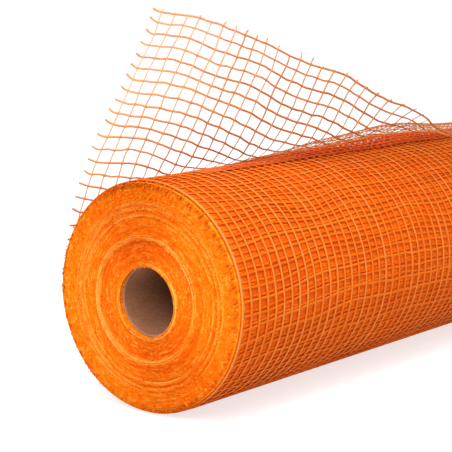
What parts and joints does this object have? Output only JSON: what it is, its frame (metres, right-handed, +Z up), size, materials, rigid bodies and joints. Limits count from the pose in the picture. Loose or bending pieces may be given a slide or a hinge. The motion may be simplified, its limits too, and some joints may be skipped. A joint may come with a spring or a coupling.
{
  "type": "roll of fiberglass mesh",
  "caption": "Roll of open woven glass-fibre reinforcing mesh on a cardboard core, lying on its side with its loose end standing up at one end.",
  "frame": {"origin": "middle of the roll's length on the flat strip along its underside that it lies on", "axes": "+X along the roll's axis, from the end where the free end stands up to the other end; +Y to the side that the free end comes up from; +Z up"},
  "size_m": [1, 0.1797, 0.3014],
  "materials": {
    "mesh_glass": "matte",
    "core_board": "matte"
  },
  "bodies": {
    "root": {"mesh_roll": "mesh_glass", "core_tube": "core_board", "mesh_free_end": "mesh_glass"}
  },
  "joints": []
}
